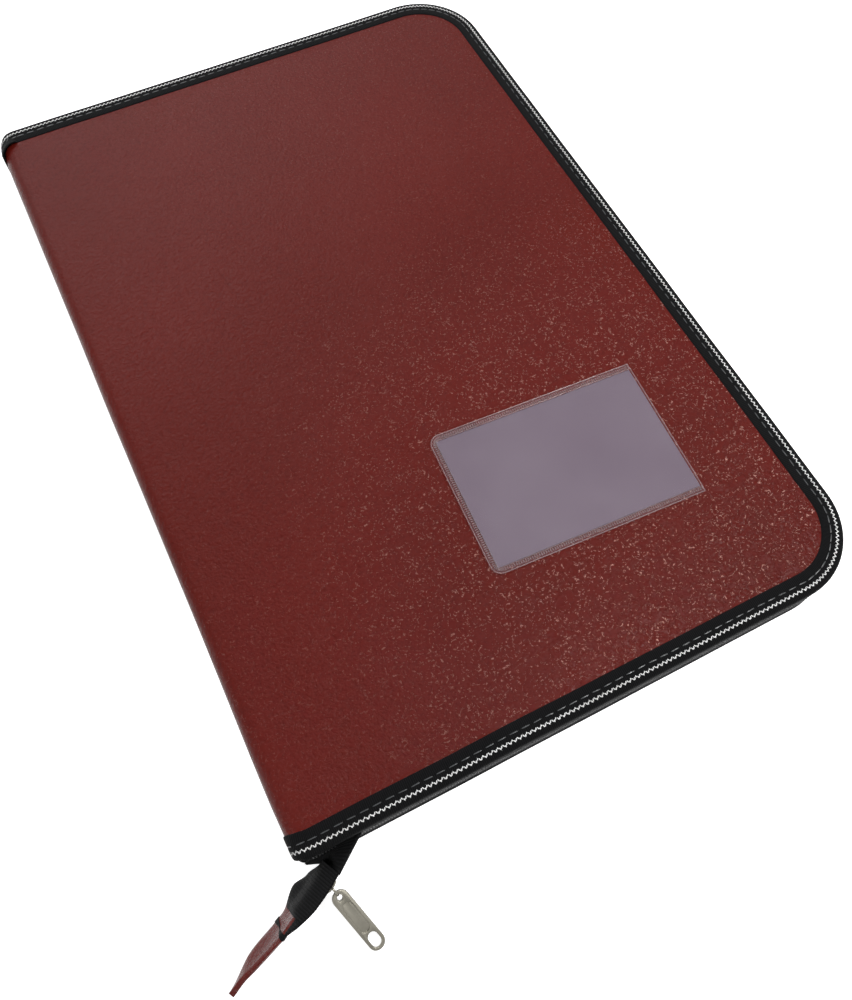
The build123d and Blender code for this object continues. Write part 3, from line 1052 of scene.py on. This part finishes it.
def pull():
    lean_angle = math.radians(10.4)
    along = RUN * math.sin(lean_angle) + OUT * math.cos(lean_angle)
    side = ACROSS.cross(along)

    def face(x, y, z):
        return EYE + (along * x + side * y + ACROSS * z) * MM

    def slot(first, last, radius):
        return arc((last - radius, 0), radius, -90, 90) + arc((first + radius, 0), radius, 90, 270)

    outline = slot(2.2, 28.8, 3.1)

    def round_hole(radius):
        return arc((4.6, 0), radius, 0, 345, 23)

    window = slot(21.7, 28.0, 2.15)
    panel = slot(7.3, 20.9, 2.2)
    core = plate("core", outline, [round_hole(1.2), window], 0, 0.42, 0.1, face)
    rim_holes = [round_hole(1.55), slot(21.6, 28.05, 2.2), panel]
    rim = plate("rim", outline, rim_holes, 0, 0.8, 0.22, face)
    collar = plate("collar", round_hole(1.75), [round_hole(1.2)], 0, 0.78, 0.15, face)
    turns = [math.tau * i / 28 for i in range(29)]
    ring = [face(0.95 + 2.6 * math.cos(angle), 0, 2.3 * math.sin(angle)) for angle in turns]
    gather("pull_plate", [core, rim, collar, tube(ring, 0.42 * MM)], NICKEL, "nickel", "pull", "pull_tab")


slider()
pull()


# Card pocket

POCKET_WIDTH = 101 * MM
POCKET_HEIGHT = 70.5 * MM
POCKET_CORNER = 5 * MM
WELD_RIB_PITCH = 1.05 * MM


def pocket():
    slide = hinge("card_slide")
    across = Vector(slide["axis"]).normalized()
    up = Vector((0, 0, 1))
    up_side = up.cross(across)
    centre = (film_low + film_high) / 2
    centre.z = 0
    half_x, half_y, radius = POCKET_WIDTH / 2, POCKET_HEIGHT / 2, POCKET_CORNER
    level = film_high.z

    def spot(x, y, z):
        point = centre + across * x + up_side * y
        point.z = z
        return point

    def ring(inset, count=7):
        # Left end round, right end open and square
        r = radius - inset
        path = [(half_x, -half_y + inset)]
        path += arc((-half_x + radius, -half_y + radius), r, 270, 180, count)
        path += arc((-half_x + radius, half_y - radius), r, 180, 90, count)
        path += [(half_x, half_y - inset)]
        return path

    columns, rows = 60, 42
    points = []
    for layer in (0, 1):
        for i in range(columns + 1):
            x = -half_x + 2 * half_x * i / columns
            reach = half_y
            if x < -half_x + radius:
                reach = half_y - radius + math.sqrt(max(0.0, radius**2 - (x + half_x - radius) ** 2))
            for j in range(rows + 1):
                y = -reach + 2 * reach * j / rows
                edge = min(reach - abs(y), x + half_x)
                loft = smooth_step((edge - 2.4 * MM) / (4 * MM)) * 0.22 * MM
                ripple = noise.noise(Vector((x, y, 0)) * 35) * 0.16 * MM
                ripple *= smooth_step((edge - 3 * MM) / (8 * MM))
                lip = 0.35 * MM * smooth_step((x - half_x + 5 * MM) / (5 * MM))
                lip *= smooth_step(edge / (12 * MM))
                points.append(spot(x, y, level - 0.12 * MM + loft + ripple + lip - layer * 0.2 * MM))
    film = new_piece("pocket_window", points, slab_faces(columns, rows), POCKET_FILM)
    settle(film, "front_cover", "pocket_film")

    points, faces = [], []
    outer, inner = ring(0.9 * MM), ring(2.5 * MM)
    for (a, b), (c, d) in zip(zip(outer, outer[1:]), zip(inner, inner[1:])):
        count = max(1, round(math.dist(a, b) / WELD_RIB_PITCH))
        for k in range(count):
            t = (k + 0.5) / count
            out_point = spot(a[0] + (b[0] - a[0]) * t, a[1] + (b[1] - a[1]) * t, level)
            in_point = spot(c[0] + (d[0] - c[0]) * t, c[1] + (d[1] - c[1]) * t, level)
            along = in_point - out_point
            size = (along.length / 2, 0.26 * MM, 0.22 * MM)
            along.normalize()
            side = up.cross(along)
            bead(points, faces, (out_point + in_point) / 2, along, side, up, size, 6)
    rails = []
    for path, radius_of in ((ring(0.15 * MM), 0.2), (ring(2.75 * MM), 0.13)):
        line_points = []
        for (a, b), (c, d) in zip(path, path[1:]):
            steps = max(1, round(math.dist((a, b), (c, d)) / (3 * MM)))
            for k in range(steps):
                t = k / steps
                line_points.append(spot(a + (c - a) * t, b + (d - b) * t, level - 0.02 * MM))
        line_points.append(spot(path[-1][0], path[-1][1], level - 0.02 * MM))
        rails.append(tube(line_points, radius_of * MM, 6))
    parts = [(points, faces), *rails]
    gather("pocket_weld", parts, WELD_FILM, "clear_film", "front_cover", "pocket_welded_border")
    lip = [
        spot(half_x - 0.1 * MM, y * MM, level + 0.3 * MM * smooth_step((35.2 - abs(y)) / 12))
        for y in range(-35, 36, 5)
    ]
    gather("pocket_mouth", [tube(lip, 0.22 * MM, 6)], WELD_FILM, "clear_film", "front_cover")


pocket()


# Plain CAD nodes keep their shape and get their finish

FINISH = {
    "board": BOARD, "lining": LINING, "inner_pocket": LINING, "zip_stop": NICKEL,
    "sleeve_strip": PLASTIC, "sleeve_edge": PLASTIC, "binding_screws": NICKEL,
    "slider": NICKEL, "pull_tab": NICKEL, "name_card": CARD, "pocket_backing": POCKET_FILM,
    "pocket_film": POCKET_FILM, "pocket_welded": WELD_FILM, "tail_coil": NYLON,
    "tail_tab_band": BINDING, "tail_tab": LEATHER, "tail": ZIP_CLOTH, "gusset": ZIP_CLOTH,
}


def finish_nodes():
    for name, piece in frame["nodes"].items():
        material = SLEEVE_FILM
        for part, found in FINISH.items():
            if part in name:
                material = found
                break
        piece.data.materials.clear()
        piece.data.materials.append(material)


finish_nodes()


# Floor, light and background

def direct_rays(tree):
    # 1 for rays from the camera, a reflection or a clear piece, 0 for light that falls on the object
    path = tree.nodes.new("ShaderNodeLightPath")
    total = path.outputs["Is Camera Ray"]
    for name in ("Is Glossy Ray", "Is Transmission Ray"):
        added = tree.nodes.new("ShaderNodeMath")
        added.operation = "ADD"
        added.use_clamp = True
        tree.links.new(total, added.inputs[0])
        tree.links.new(path.outputs[name], added.inputs[1])
        total = added.outputs[0]
    return total


WORLD_LIGHT = 0.15
FLOOR_GLOW = 0.86
FLOOR_DROP = 0.2 * MM


def floor():
    size = 6.0
    mesh = bpy.data.meshes.new("floor")
    corners = [(-size, -size, 0), (size, -size, 0), (size, size, 0), (-size, size, 0)]
    mesh.from_pydata(corners, [], [(0, 1, 2, 3)])
    piece = bpy.data.objects.new("floor", mesh)
    piece.location.z = -FLOOR_DROP
    bpy.context.scene.collection.objects.link(piece)
    material, shader = new_material("floor", (0.9, 0.9, 0.9), 0.9, specular=0.0)
    tree = material.node_tree
    glow = tree.nodes.new("ShaderNodeEmission")
    glow.inputs["Color"].default_value = (1, 1, 1, 1)
    seen = math_node(material, "MULTIPLY", direct_rays(tree), FLOOR_GLOW)
    link(material, seen, glow.inputs["Strength"])
    both = tree.nodes.new("ShaderNodeAddShader")
    link(material, shader.outputs[0], both.inputs[0])
    link(material, glow.outputs[0], both.inputs[1])
    link(material, both.outputs[0], tree.nodes["Material Output"].inputs["Surface"])
    mesh.materials.append(material)


def lamp(name, location, target, size, watts):
    data = bpy.data.lights.new(name, "AREA")
    data.shape = "SQUARE"
    data.size = size
    data.energy = watts
    lamp_object = bpy.data.objects.new(name, data)
    bpy.context.scene.collection.objects.link(lamp_object)
    lamp_object.location = location
    aim = Vector(target) - Vector(location)
    lamp_object.rotation_euler = aim.to_track_quat("-Z", "Y").to_euler()


def world():
    made = bpy.data.worlds.new("world")
    bpy.context.scene.world = made
    made.use_nodes = True
    tree = made.node_tree
    background = tree.nodes["Background"]
    mix = tree.nodes.new("ShaderNodeMapRange")
    tree.links.new(direct_rays(tree), mix.inputs["Value"])
    mix.inputs["To Min"].default_value = WORLD_LIGHT
    mix.inputs["To Max"].default_value = 1.0
    tree.links.new(mix.outputs["Result"], background.inputs["Strength"])
    background.inputs["Color"].default_value = (1, 1, 1, 1)


floor()
world()
lamp("ceiling_lamp", (0.47, -0.26, 1.1), (0, -0.1, 0), 0.05, 7.5)
lamp("far_window", (-0.05, 1.35, 1.3), (0, 0, 0), 1.1, 11)
lamp("left_fill", (-1.3, -0.5, 1.0), (0, 0, 0), 0.8, 5)

bpy.context.scene.view_settings.view_transform = "Standard"
